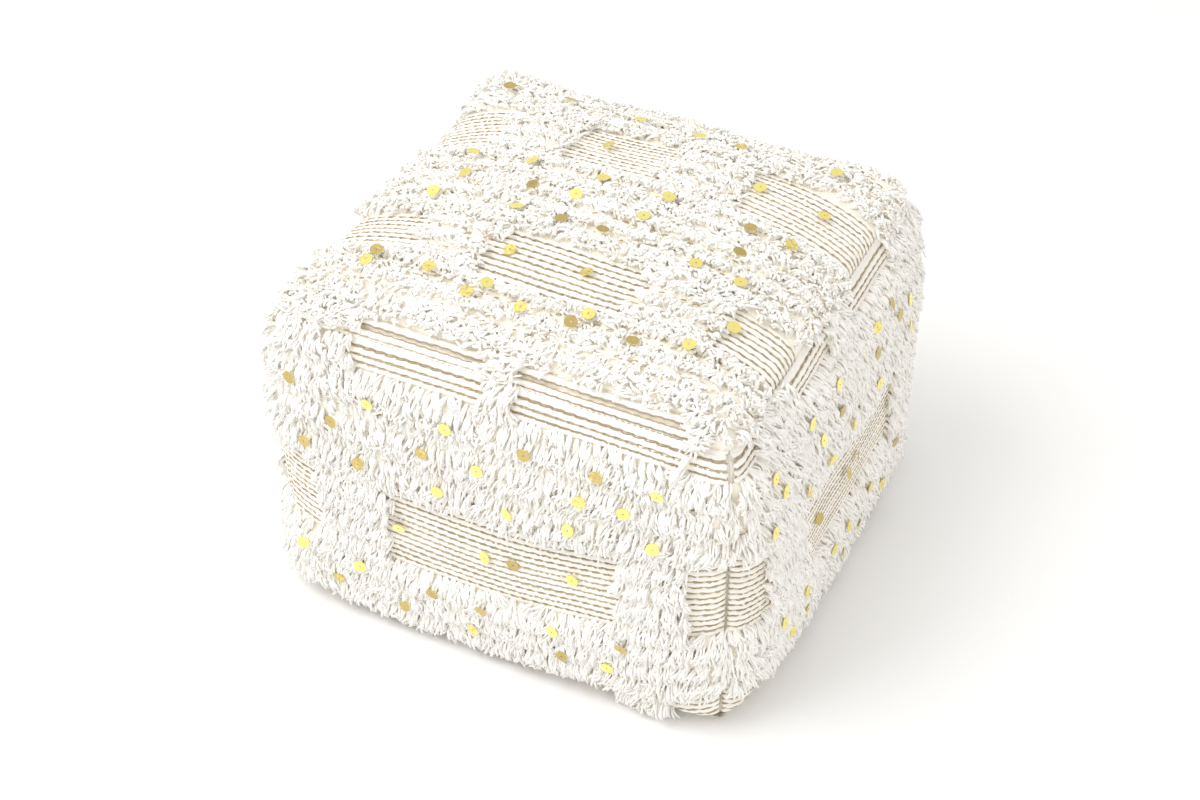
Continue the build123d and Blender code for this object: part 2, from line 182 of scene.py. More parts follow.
root_lump_size = 5.0
root_seed = 5
root_shift = 700.0
root_tuck = 0.1  # share of the mat's height by which its edge dips into the cloth
knot_spacing = 13.0
knot_unevenness = (0.6, 1.6)
knot_margin = 4.0
knot_scatter = 2
knot_slant = 0.4
knot_lift = 1.2
knot_arch = 0.12
knot_rings = 6
knot_reach = (1.5, 3.5)  # half the length of thread that shows at a knot
lowest_yarn = 1.5  # height that no yarn hangs under
yarn_row_end = 0.8  # from the end of a row of yarn to the seam
pile_over_ribs = 6.0  # how far a row of yarn runs on under a pile block
ragged_end = 3.0
sequin_clear = 6.5  # distance from a sequin's middle up to which yarns lie flat under it
sequin_sink = 1.8
sequin_slope = 3.0
sequin_reach = 12.0
sequin_search = 18.0
everywhere = (-400.0, 400.0)  # wider than any panel


# ---------------------------------------------------------------- mesh helpers
noise_knots = 64  # along each side of a field of random values


def mesh_object(name, points, quads):
    """A smooth mesh object in the CAD frame, from points in millimetres and four-cornered faces."""
    mesh = bpy.data.meshes.new(name)
    points = np.asarray(points, dtype=np.float32) * MM
    quads = np.asarray(quads, dtype=np.int32)
    mesh.vertices.add(len(points))
    mesh.vertices.foreach_set("co", points.ravel())
    mesh.loops.add(quads.size)
    mesh.loops.foreach_set("vertex_index", quads.ravel())
    mesh.polygons.add(len(quads))
    mesh.polygons.foreach_set("loop_start", np.arange(0, quads.size, 4, dtype=np.int32))
    mesh.polygons.foreach_set("use_smooth", [True] * len(quads))
    mesh.update(calc_edges=True)
    piece = bpy.data.objects.new(name, mesh)
    bpy.context.scene.collection.objects.link(piece)
    return piece


def grid_faces(rows, columns):
    """Quads between neighbouring points of a rows × columns grid."""
    index = np.arange(rows * columns).reshape(rows, columns)
    corners = (index[:-1, :-1], index[1:, :-1], index[1:, 1:], index[:-1, 1:])
    return np.stack([c.ravel() for c in corners], axis=1)


def unit(vectors):
    """The vectors at length one."""
    return vectors / np.maximum(np.linalg.norm(vectors, axis=-1, keepdims=True), 1e-9)


def tubes(centres, ups, profile):
    """Points and quads of n tubes of k rings: centres and ups are (n, k, 3), profile is (n, k, m, 2)."""
    count, rings, corners = profile.shape[:3]
    along = unit(np.gradient(centres, axis=1))
    sideways = unit(np.cross(along, ups))
    outward = np.cross(sideways, along)
    points = (
        centres[:, :, None]
        + sideways[:, :, None] * profile[..., :1]
        + outward[:, :, None] * profile[..., 1:]
    )
    index = np.arange(count * rings * corners).reshape(count, rings, corners)
    turned = np.roll(index, -1, axis=2)
    quads = np.stack([index[:, :-1], index[:, 1:], turned[:, 1:], turned[:, :-1]], axis=-1)
    return points.reshape(-1, 3), quads.reshape(-1, 4)


def circle(corners):
    """Angles evenly round a circle."""
    return np.arange(corners) / corners * math.tau


def ring(corners, turn=0.0):
    """A round profile of radius one."""
    angles = circle(corners) + turn
    return np.stack([np.cos(angles), np.sin(angles)], axis=-1)


def join_tubes(name, parts):
    """One object out of several (points, quads) pairs."""
    points, quads, offset = [], [], 0
    for part_points, part_quads in parts:
        points.append(part_points)
        quads.append(part_quads + offset)
        offset += len(part_points)
    return mesh_object(name, np.concatenate(points), np.concatenate(quads))


def eased(share):
    """A share from 0 to 1, slow at both ends."""
    return share * share * (3 - 2 * share)


def smooth_noise(count, scale, length):
    """A random line of values that wander over the given length, from -1 to 1 or so."""
    knots = rng.uniform(-1, 1, int(length / scale) + 3)
    place = np.linspace(0, len(knots) - 1.001, count)
    low = place.astype(int)
    share = eased(place - low)
    return knots[low] * (1 - share) + knots[low + 1] * share


def field_noise(u, v, scale, seed, shift):
    """Smooth random values over the cloth, from -1 to 1, that wander over the given scale."""
    knots = np.random.default_rng(seed).uniform(-1, 1, (noise_knots, noise_knots))
    x = ((u + shift) / scale) % (noise_knots - 1)
    y = ((v + shift) / scale) % (noise_knots - 1)
    i, j = x.astype(int), y.astype(int)
    fx, fy = eased(x - i), eased(y - j)
    low = knots[i, j] * (1 - fx) + knots[i + 1, j] * fx
    high = knots[i, j + 1] * (1 - fx) + knots[i + 1, j + 1] * fx
    return low * (1 - fy) + high * fy


# ---------------------------------------------------------------- filled liner, by cloth simulation
liner_voxel = 7.0
liner_cap = 6.0
liner_frames = 20
liner_pressure = 4.0
liner_quality = 4
relax_rounds = 3
lump_size = 95.0  # lumps of loose filling that show through the cover
lump_height = 4.0
lump_fade = 60.0  # height over the base seam at which lumps reach their full size
pin_width = 9.0
least_hold = 0.05
corner_seam_start = 0.9  # share of the wall's straight part where its corner seam begins to hold
foot_top = 34.0  # height under which the floor begins to hold the liner
foot_fade = 14.0


def applied(piece):
    """The piece with its modifiers made real."""
    graph = bpy.context.evaluated_depsgraph_get()
    mesh = bpy.data.meshes.new_from_object(piece.evaluated_get(graph))
    piece.modifiers.clear()
    piece.data = mesh
    return piece


def coordinates(mesh):
    """The mesh's vertices as an array, in millimetres."""
    flat = np.zeros(len(mesh.vertices) * 3, np.float32)
    mesh.vertices.foreach_get("co", flat)
    return flat.reshape(-1, 3).astype(float) / MM


def near_a_seam(points):
    """How firmly the seams hold each point, from 0 to 1."""
    x, y, z = np.abs(points[:, 0]), np.abs(points[:, 1]), points[:, 2]
    on_side = np.maximum(x - top_straight[0], y - top_straight[1]) > 0
    top_seam = np.exp(-(((z - top_seam_height) / pin_width) ** 2)) * on_side
    straight_gap = wall_straight["front"] - wall_straight["right"]
    corner_seam = np.exp(-(((x - y - straight_gap) / (2 * pin_width)) ** 2))
    corner_seam *= (np.minimum(x, y) > wall_straight["right"] * corner_seam_start) & (z < top_seam_height)
    foot = np.clip((foot_top - z) / foot_fade, 0, 1)
    return np.clip(np.maximum.reduce([top_seam, corner_seam, foot]), 0, 1)


def lumps(points, normals):
    """How far the loose filling lifts or drops each point of the liner, along its normal."""
    rise = [noise.noise(Vector(point) / lump_size) for point in points]
    firm = np.clip((points[:, 2] - base_seam_height) / lump_fade, 0, 1)
    return normals * (lump_height * firm * np.array(rise))[:, None]


def make_liner():
    """The liner bag, swollen by its filling between the seams of the cover."""
    liner = bpy.data.objects.new("filled_liner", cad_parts["filling"].data.copy())
    bpy.context.scene.collection.objects.link(liner)
    remesh = liner.modifiers.new("Remesh", "REMESH")
    remesh.mode = "VOXEL"
    remesh.voxel_size = liner_voxel * MM
    applied(liner)
    rest = coordinates(liner.data)
    hold = near_a_seam(rest)
    pins = liner.vertex_groups.new(name="seams")
    for index in np.nonzero(hold > least_hold)[0]:
        pins.add([int(index)], float(hold[index]), "REPLACE")
    cloth = liner.modifiers.new("Cloth", "CLOTH")
    cloth.settings.quality = liner_quality
    cloth.settings.use_pressure = True
    cloth.settings.uniform_pressure_force = liner_pressure
    cloth.settings.effector_weights.gravity = 0.0
    cloth.settings.vertex_group_mass = pins.name
    cloth.point_cache.frame_start = 1
    cloth.point_cache.frame_end = liner_frames
    for step in range(1, liner_frames + 1):
        bpy.context.scene.frame_set(step)
    applied(liner)
    moved = coordinates(liner.data) - rest
    reach = np.linalg.norm(moved, axis=1, keepdims=True)
    limit = liner_cap * (1 - hold[:, None])
    moved *= limit * np.tanh(reach / liner_cap) / np.maximum(reach, 1e-6)
    rest = rest + moved
    bpy.context.scene.frame_set(1)
    normals = np.zeros(rest.size, np.float32)
    liner.data.vertices.foreach_get("normal", normals)
    settled = (rest + lumps(rest, normals.reshape(-1, 3))) * MM
    liner.data.vertices.foreach_set("co", settled.astype(np.float32).ravel())
    relax = liner.modifiers.new("Relax", "SMOOTH")
    relax.iterations = relax_rounds
    applied(liner)
    return liner


liner = make_liner()
liner_tree = BVHTree.FromPolygons(
    [tuple(p) for p in coordinates(liner.data)], [tuple(p.vertices) for p in liner.data.polygons]
)
liner_finish = liner.modifiers.new("Subdivision", "SUBSURF")
liner_finish.levels = liner_finish.render_levels = 1
liner.data.polygons.foreach_set("use_smooth", [True] * len(liner.data.polygons))
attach(liner, "pouf")
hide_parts("liner_bag", "filling")


# ---------------------------------------------------------------- surfaces measured by rays
wall_frames = {
    "front": ((1, 0), (0, -1)),
    "right": ((0, 1), (1, 0)),
    "back": ((-1, 0), (0, 1)),
    "left": ((0, -1), (-1, 0)),
}


def bend(flat, straight, radius):
    """Where the ray for a flat place starts, and the angle at which it leaves."""
    start = np.clip(flat, -straight, straight)
    return start, (flat - start) / radius


def top_rays(u, v):
    """Ray starts and directions over the top for flat places."""
    x, turn_x = bend(u, top_straight[0], top_bend_radius)
    y, turn_y = bend(v, top_straight[1], top_bend_radius)
    starts = np.stack([x, y, np.full_like(x, top_ray_height)], axis=-1)
    return starts, unit(np.stack([np.tan(turn_x), np.tan(turn_y), np.ones_like(x)], axis=-1))


def wall_rays(wall):
    """A function that gives level rays through one wall for a place along it and a height."""
    along, out = (np.array([*pair, 0.0]) for pair in wall_frames[wall])
    straight = wall_straight[wall]
    depth = wall_straight["right"] if wall in ("front", "back") else wall_straight["front"]

    def rays(u, v):
        start, turn = bend(u, straight, wall_bend_radius)
        starts = start[..., None] * along + depth * out + v[..., None] * np.array([0, 0, 1.0])
        return starts, np.sin(turn)[..., None] * along + np.cos(turn)[..., None] * out

    return rays


def base_rays(u, v):
    """Ray starts and directions through the base for flat places."""
    x, turn_x = bend(u, base_straight[0], base_bend_radius)
    y, turn_y = bend(v, base_straight[1], base_bend_radius)
    spread_x, spread_y = np.tan(turn_x), np.tan(turn_y)
    spread = np.hypot(spread_x, spread_y)
    share = np.minimum(1, math.tan(base_bend_angle) / np.maximum(spread, 1e-6))
    starts = np.stack([x, y, np.full_like(x, base_ray_height)], axis=-1)
    return starts, unit(np.stack([spread_x * share, spread_y * share, -np.ones_like(x)], axis=-1))


def fill_gaps(table):
    """The table with each missing value taken from its known neighbours."""
    while np.isnan(table).any():
        framed = np.pad(table, 1, constant_values=np.nan)
        near = np.stack([framed[:-2, 1:-1], framed[2:, 1:-1], framed[1:-1, :-2], framed[1:-1, 2:]])
        known = ~np.isnan(near)
        mean = np.where(known, near, 0).sum(axis=0) / np.maximum(known.sum(axis=0), 1)
        table = np.where(np.isnan(table) & known.any(axis=0), mean, table)
    return table


class Surface:
    """One cloth panel's outside, kept as a table of points over flat places (u, v)."""

    def __init__(self, rays, tree, u_span, v_span, lift, valleys=True):
        columns = int(round((u_span[1] - u_span[0]) / table_step)) + 1
        rows = int(round((v_span[1] - v_span[0]) / table_step)) + 1
        self.u = np.linspace(*u_span, columns)
        self.v = np.linspace(*v_span, rows)
        grid_u, grid_v = np.meshgrid(self.u, self.v)
        starts, directions = rays(grid_u, grid_v)
        reach = np.array(
            [
                tree.ray_cast(Vector(s), Vector(d))[3] or np.nan
                for s, d in zip(starts.reshape(-1, 3), directions.reshape(-1, 3))
            ]
        ).reshape(rows, columns)
        reach = fill_gaps(reach)
        self.points = starts + directions * reach[..., None]
        self.normals = self.facing(directions)
        self.points = self.points + self.normals * lift
        if valleys:
            edge = np.minimum.reduce(
                [grid_u - u_span[0], u_span[1] - grid_u, grid_v - v_span[0], v_span[1] - grid_v]
            )
            self.points -= self.normals * (seam_depth * np.exp(-((edge / seam_width) ** 2)))[..., None]
            self.normals = self.facing(directions)

    def facing(self, outward):
        """Unit normals of the table, on the outward side."""
        across = np.gradient(self.points, axis=1)
        up = np.gradient(self.points, axis=0)
        normals = unit(np.cross(across, up))
        side = np.sign(np.sum(normals * outward, axis=-1, keepdims=True))
        return normals * np.where(side == 0, 1, side)

    def read(self, table, u, v):
        """Values of a table between its points."""
        x = np.clip((u - self.u[0]) / (self.u[1] - self.u[0]), 0, len(self.u) - 1.001)
        y = np.clip((v - self.v[0]) / (self.v[1] - self.v[0]), 0, len(self.v) - 1.001)
        i, j = x.astype(int), y.astype(int)
        fx, fy = (x - i)[..., None], (y - j)[..., None]
        low = table[j, i] * (1 - fx) + table[j, i + 1] * fx
        high = table[j + 1, i] * (1 - fx) + table[j + 1, i + 1] * fx
        return low * (1 - fy) + high * fy

    def at(self, u, v):
        """Points and unit normals at flat places."""
        return self.read(self.points, u, v), unit(self.read(self.normals, u, v))

    def sheet(self, name):
        """The panel itself as a grid mesh."""
        faces = grid_faces(*self.points.shape[:2])
        across, up = np.gradient(self.points, axis=1), np.gradient(self.points, axis=0)
        if np.sum(np.cross(across, up) * self.normals) > 0:
            faces = faces[:, ::-1]
        return mesh_object(name, self.points.reshape(-1, 3), faces)


top_half = tuple(s + top_bend_radius * top_bend_angle for s in top_straight)
surfaces = {
    "top": Surface(
        top_rays, liner_tree, (-top_half[0], top_half[0]), (-top_half[1], top_half[1]), cloth_over_filling
    )
}
wall_half = {w: s + wall_bend_radius * wall_bend_angle for w, s in wall_straight.items()}
for wall, half in wall_half.items():
    surfaces[wall] = Surface(
        wall_rays(wall), liner_tree, (-half, half), (base_seam_height, top_seam_height), cloth_over_filling
    )


def band_height(wall, height, u):
    """Where a wall's band of a stated height hangs at flat places along the wall."""
    left, middle, right = band_rise[wall]
    start, turn = bend(u, wall_straight[wall], wall_bend_radius)
    place = (start + wall_bend_radius * np.sin(turn)) / wall_corner_half[wall]
    rise = middle + (right - left) / 2 * place + ((left + right) / 2 - middle) * place**2
    share = np.clip((upper_edge - height) / (upper_edge - hanging_edge), 0, 1)
    share = share * (height > base_seam_height)
    return height + share * rise


def flat_place(panel, u, height):
    """The panel's own (u, v) for a place in its bands."""
    return (u, height + 0 * u) if panel == "top" else (u, band_height(panel, height, u))


# ---------------------------------------------------------------- ribs and threads
def runs(panel, height, gaps, step):
    """Unbroken stretches of a row of yarn, as arrays of flat places."""
    half = surfaces[panel].u[-1] - yarn_row_end
    u = np.arange(-half, half, step)
    _, v = flat_place(panel, u, height)
    shown = np.ones_like(u, bool)
    for middle, width in gaps:
        shown &= np.abs(u - middle) > width / 2 - pile_over_ribs + rng.uniform(-ragged_end, ragged_end)
    if panel != "top":
        shown &= v > base_seam_height + foot_margin
    edges = np.flatnonzero(np.diff(np.concatenate([[0], shown.astype(int), [0]])))
    for start, stop in zip(edges[::2], edges[1::2]):
        if stop - start > shortest_run:
            yield u[start:stop]


def rib(panel, u, height):
    """One thick two-ply weft yarn along a run."""
    wander = rib_sway * smooth_noise(len(u), rib_sway_length, u[-1] - u[0])
    points, normals = surfaces[panel].at(*flat_place(panel, u, height + wander))
    turn = math.tau * (u / rib_lay + rng.uniform())
    corners = circle(rib_corners)
    lobes = ply_waist + ply_lobe * np.abs(np.cos(corners[None, :] - turn[:, None] / 2))
    plump = 1 + rib_swell * smooth_noise(len(u), rib_swell_length, u[-1] - u[0])
    plump[[0, -1]] = rib_tip
    width = rib_half_width * np.cos(corners)[None, :] * lobes * plump[:, None]
    rise = rib_height * (np.sin(corners)[None, :] * rib_flatness * lobes * plump[:, None] + rib_base)
    return tubes(points[None], normals[None], np.stack([width, rise], axis=-1)[None])


def thread(panel, u, height, sway, radius):
    """One thin metallic thread that dips under the cloth every few millimetres."""
    wave = math.tau * (u / thread_wave + rng.uniform())
    aside = sway * np.sin(wave) + thread_drift * smooth_noise(len(u), thread_drift_length, u[-1] - u[0])
    points, normals = surfaces[panel].at(*flat_place(panel, u, height + aside))
    points = points + normals * (thread_lift + thread_dip * np.sin(2 * wave + thread_dip_phase))[:, None]
    profile = np.broadcast_to(radius * ring(thread_corners), (len(u), thread_corners, 2))
    return tubes(points[None], normals[None], profile[None])


def woven_band(panel, band, gaps, edged=False):
    """The ribs and the threads of one woven band, as two lists of parts. An edged band has gold pairs."""
    low, high = band
    rows = round((high - low) / rib_pitch)
    pitch = (high - low) / rows
    ribs, threads = [], []
    for row in range(rows):
        height = low + (row + 0.5) * pitch
        ribs += [rib(panel, u, height) for u in runs(panel, height, gaps, rib_step)]
        line = low + row * pitch
        lines = [line] if row else []
        if edged:
            lines = [line - pair_gap / 2, line + pair_gap / 2]
        radius, sway = (pair_radius, pair_sway) if edged else (thread_radius, thread_sway)
        for height in lines:
            places = runs(panel, height, gaps, thread_step)
            threads += [thread(panel, u, height, sway, radius) for u in places]
    return ribs, threads


# ---------------------------------------------------------------- cut pile
def sequin_centres(panel):
    """Centres of the loose parts of the panel's CAD sequins, in millimetres."""
    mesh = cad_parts[f"{panel}_sequins"].data
    points = coordinates(mesh)
    parent = np.arange(len(points))

    def root(i):
        while parent[i] != i:
            parent[i] = parent[parent[i]]
            i = parent[i]
        return i

    for a, b in (e.vertices for e in mesh.edges):
        parent[root(a)] = root(b)
    centres = {}
    for i, point in enumerate(points):
        centres.setdefault(root(i), []).append(point)
    return [np.mean(group, axis=0) for group in centres.values()]


sequins = {panel: sequin_centres(panel) for panel in surfaces}


def tuft_places(panel, band, span, ragged):
    """Flat places of the knots over one band, in uneven rows."""
    low, high = band
    high = high + pile_overlap
    rows = max(round((high - low) / tuft_spacing), 1)
    places = []
    for row in range(rows):
        height = low + (row + 0.5) * (high - low) / rows
        start = span[0] + rng.uniform(-ragged, ragged)
        stop = span[1] + rng.uniform(-ragged, ragged)
        u = np.arange(start, stop, tuft_spacing) + rng.uniform(0, tuft_spacing)
        u = u + rng.uniform(-tuft_scatter[0], tuft_scatter[0], len(u))
        h = height + rng.uniform(-tuft_scatter[1], tuft_scatter[1], len(u))
        places.append(np.stack([u, h], axis=-1))
    places = np.concatenate(places)
    half = surfaces[panel].u[-1] - tuft_margin
    places = places[np.abs(places[:, 0]) < half]
    if panel != "top":
        _, v = flat_place(panel, places[:, 0], places[:, 1])
        places = places[v > base_seam_height + tuft_foot_margin]
    return places


def shortened(parting):
    """Share of its height that the pile has, for a place counted in partings."""
    return 1 - parting_depth * (0.5 + 0.5 * np.cos(math.tau * parting)) ** 2


def strands(panel, places, band):
    """Cut yarns that spring from each knot, as tube parts."""
    u = np.repeat(places[:, 0], strands_per_tuft)
    h = np.repeat(places[:, 1], strands_per_tuft)
    count = len(u)
    u = u + rng.normal(0, strand_scatter, count)
    h = h + rng.normal(0, strand_scatter, count)
    flat_u, flat_v = flat_place(panel, u, h)
    bases, normals = surfaces[panel].at(flat_u, flat_v)
    ahead, _ = surfaces[panel].at(flat_u + 2.0, flat_v)
    across = unit(ahead - bases)
    upward = unit(np.cross(normals, across))

    # Which way each yarn leans: over the row in front of it, with its neighbours, and by itself.
    heading = -math.pi / 2 + swirl * field_noise(u, h, swirl_size, swirl_seed + len(panel), swirl_shift)
    heading = heading + np.repeat(rng.normal(0, lean_spread, len(places)), strands_per_tuft)
    heading = heading + rng.normal(0, lean_spread, count)
    parting = (h - band[0]) / parting_pitch
    away = parting_lean * np.sin(math.tau * parting)
    droop = 0.0 if panel == "top" else wall_droop
    lean_u = np.cos(heading)
    lean_v = np.sin(heading) + away - droop
    lean = unit(lean_u[:, None] * across + lean_v[:, None] * upward)

    height = rng.uniform(*strand_height, count)
    height = height * (1 + pile_swell * field_noise(u, h, pile_swell_size, pile_swell_seed, pile_swell_shift))
    height = height * shortened(parting)
    reach = rng.uniform(*strand_reach, count)
    curl = rng.uniform(-strand_curl, strand_curl, count)
    t = np.linspace(0, 1, strand_rings)[None, :, None]
    sideways = np.cross(lean, normals)
    rise = height[:, None, None] * (1.9 * t - 0.95 * t**2)
    centres = (
        bases[:, None]
        + normals[:, None] * rise
        + lean[:, None] * reach[:, None, None] * t**strand_lean_power
        + sideways[:, None] * curl[:, None, None] * np.sin(math.pi * t)
    )
    if panel != "top":
        centres = centres - np.array([0, 0, 1.0]) * (strand_sag * t**2)
    centres = duck_under_sequins(panel, centres, normals)
    centres[..., 2] = np.maximum(centres[..., 2], lowest_yarn)
    thickness = strand_radius * rng.uniform(*strand_plumpness, count)[:, None] * np.array(strand_taper)
    profile = thickness[..., None, None] * ring(strand_corners, math.pi / 4)
    ups = np.broadcast_to(normals[:, None], centres.shape)
    return centres, ups, profile


def grow_pile(name, yarns):
    """Objects of a limited size each, out of the yarns' (centres, ups, profile)."""
    centres, ups, profile = (np.concatenate(parts) for parts in zip(*yarns))
    pieces = []
    for number, start in enumerate(range(0, len(centres), strands_per_piece), 1):
        some = slice(start, start + strands_per_piece)
        points, quads = tubes(centres[some], ups[some], profile[some])
        ends = np.arange(1, len(centres[some]) + 1) * strand_rings * strand_corners
        caps = ends[:, None] - 1 - np.arange(strand_corners)
        pieces.append(mesh_object(f"{name}_{number}", points, np.concatenate([quads, caps])))
    return pieces


def root_mat(panel, band, span):
    """The crowded roots of the pile over one area: a lumpy mat that falls to the cloth at its edges."""
    low, high = band
    half = surfaces[panel].u[-1]
    span = max(span[0], -half), min(span[1], half)
    u, h = np.meshgrid(
        np.linspace(*span, int((span[1] - span[0]) / root_step) + 2),
        np.linspace(low, high, int((high - low) / root_step) + 2),
    )
    edge = np.minimum.reduce([h - low, high - h, u - span[0], span[1] - u])
    rough = 1 + root_lump * field_noise(u, h, root_lump_size, root_seed, root_shift)
    lift = root_height * np.clip(edge / root_slope, -root_tuck, 1) * rough
    lift = lift * shortened((h - low) / parting_pitch)
    flat_u, flat_v = flat_place(panel, u, h)
    points, normals = surfaces[panel].at(flat_u, flat_v)
    points = points + normals * lift[..., None]
    points[..., 2] = np.maximum(points[..., 2], lowest_yarn)
    return points.reshape(-1, 3), grid_faces(*u.shape)[:, ::-1]


def knot_threads(panel, band, span):
    """Ends of the metallic thread that show along the partings."""
    parts = []
    half = surfaces[panel].u[-1] - knot_margin
    for line in np.arange(band[0] + parting_pitch, band[1] - knot_margin, parting_pitch):
        u = max(span[0], -half) + rng.uniform(0, knot_spacing)
        while u < min(span[1], half):
            reach = np.linspace(-1, 1, knot_rings) * rng.uniform(*knot_reach)
            height = line + rng.uniform(-knot_scatter, knot_scatter) + knot_slant * reach
            points, normals = surfaces[panel].at(*flat_place(panel, u + reach, height))
            points = points + normals * (root_height + knot_lift - knot_arch * reach**2)[:, None]
            profile = np.broadcast_to(
                thread_radius * ring(thread_corners), (1, knot_rings, thread_corners, 2)
            )
            parts.append(tubes(points[None], normals[None], profile))
            u += knot_spacing * rng.uniform(*knot_unevenness)
    return parts


def duck_under_sequins(panel, centres, normals):
    """Presses yarns down where a sequin lies on them."""
    for middle in sequins[panel]:
        offset = centres - middle
        near = np.linalg.norm(offset, axis=-1)
        touched = near.min(axis=1) < sequin_search
        if not touched.any():
            continue
        part = offset[touched]
        axis = normals[touched][:, None]
        above = np.sum(part * axis, axis=-1)
        aside = np.linalg.norm(part - axis * above[..., None], axis=-1)
        limit = -sequin_sink + np.clip((aside - sequin_clear) / sequin_slope, 0, 6)
        press = np.maximum(above - limit, 0) * (aside < sequin_reach)
        centres[touched] = centres[touched] - axis * press[..., None]
    return centres


# ---------------------------------------------------------------- materials
strand_share = 0.55  # how far a yarn's shade is its own, and not the cloth's around it
# Share and scale of the painted reflection on metal, whose colour follows each facet's slant; the rest of its
# colour comes from rubbed marks.
painted_reflection_share = 0.85
painted_reflection_scale = 25.0
waves_per_unit = 3.2  # of the wave texture at a scale of one


def new_material(name):
    """An empty principled material, with its node tree and shader."""
    material = bpy.data.materials.new(name)
    material.use_nodes = True
    tree = material.node_tree
    return material, tree, tree.nodes["Principled BSDF"]


def add_node(tree, kind, **settings):
    """A node with its properties and named inputs set."""
    node = tree.nodes.new(kind)
    for key, value in settings.items():
        if hasattr(node, key):
            setattr(node, key, value)
        else:
            node.inputs[key.replace("_", " ")].default_value = value
    return node


def combine(tree, operation, first, second):
    """The outcome of an operation on a factor and a factor or number."""
    node = add_node(tree, "ShaderNodeMath", operation=operation)
    tree.links.new(first, node.inputs[0])
    if isinstance(second, float):
        node.inputs[1].default_value = second
    else:
        tree.links.new(second, node.inputs[1])
    return node.outputs[0]


def blended(tree, first, second, share):
    """The first factor's share and the rest of the second one, added up."""
    parts = combine(tree, "MULTIPLY", first, share), combine(tree, "MULTIPLY", second, 1.0 - share)
    return combine(tree, "ADD", *parts)


def ramp(tree, factor, stops):
    """A colour ramp from (place, colour) stops."""
    node = tree.nodes.new("ShaderNodeValToRGB")
    elements = node.color_ramp.elements
    while len(elements) < len(stops):
        elements.new(0.5)
    for element, (place, colour) in zip(elements, stops):
        element.position = place
        element.color = (*colour, 1.0)
    tree.links.new(factor, node.inputs["Fac"])
    return node.outputs["Color"]


def bump(tree, shader, height, strength, distance, flat=False):
    """Bump from a height texture, in millimetres, over the smooth or the flat faces."""
    node = add_node(tree, "ShaderNodeBump", Strength=strength, Distance=distance * MM)
    tree.links.new(height, node.inputs["Height"])
    if flat:
        facets = tree.nodes.new("ShaderNodeNewGeometry").outputs["True Normal"]
        tree.links.new(facets, node.inputs["Normal"])
    tree.links.new(node.outputs["Normal"], shader.inputs["Normal"])


def wool(name, stops, fibre_scale, fibre_depth, sheen):
    """Soft yarn: each strand has its own shade, and fine fibres roughen it."""
    material, tree, shader = new_material(name)
    place = tree.nodes.new("ShaderNodeTexCoord").outputs["Object"]
    island = tree.nodes.new("ShaderNodeNewGeometry").outputs["Random Per Island"]
    cloud = add_node(tree, "ShaderNodeTexNoise", Scale=22.0, Detail=3.0)
    tree.links.new(place, cloud.inputs["Vector"])
    shade = blended(tree, island, cloud.outputs["Fac"], strand_share)
    tree.links.new(ramp(tree, shade, stops), shader.inputs["Base Color"])
    fibres = add_node(tree, "ShaderNodeTexNoise", Scale=fibre_scale, Detail=4.0, Roughness=0.7)
    tree.links.new(place, fibres.inputs["Vector"])
    bump(tree, shader, fibres.outputs["Fac"], 0.5, fibre_depth)
    shader.inputs["Roughness"].default_value = 0.92
    shader.inputs["Sheen Weight"].default_value = sheen
    shader.inputs["Sheen Roughness"].default_value = 0.5
    shader.inputs["Specular IOR Level"].default_value = 0.2
    return material


def woven(name, light, dark, pitch, depth):
    """Plain-weave cloth: crossed yarns a pitch apart, in millimetres, with slubs, and painted shade in the
    grooves between the yarns.
    """
    material, tree, shader = new_material(name)
    place = tree.nodes.new("ShaderNodeTexCoord").outputs["Object"]
    scale = 1 / (pitch * MM) / waves_per_unit
    heights = []
    for direction in ("X", "Y", "Z"):
        wave = add_node(tree, "ShaderNodeTexWave", bands_direction=direction, Scale=scale, Distortion=1.2)
        wave.inputs["Detail Scale"].default_value = 2.0
        tree.links.new(place, wave.inputs["Vector"])
        heights.append(wave.outputs["Fac"])
    crossed = heights[0]
    for other in heights[1:]:
        crossed = combine(tree, "MAXIMUM", crossed, other)
    slub = add_node(tree, "ShaderNodeTexNoise", Scale=60.0, Detail=4.0)
    tree.links.new(place, slub.inputs["Vector"])
    shade = combine(tree, "MULTIPLY", crossed, slub.outputs["Fac"])
    # The dark colour falls in the weave's low places as painted shade in its grooves; the slub noise adds the
    # yarn's own uneven tone.
    tree.links.new(ramp(tree, shade, ((0.1, dark), (0.6, light))), shader.inputs["Base Color"])
    bump(tree, shader, crossed, 0.6, depth)
    shader.inputs["Roughness"].default_value = 0.9
    shader.inputs["Sheen Weight"].default_value = 0.15
    shader.inputs["Specular IOR Level"].default_value = 0.25
    return material


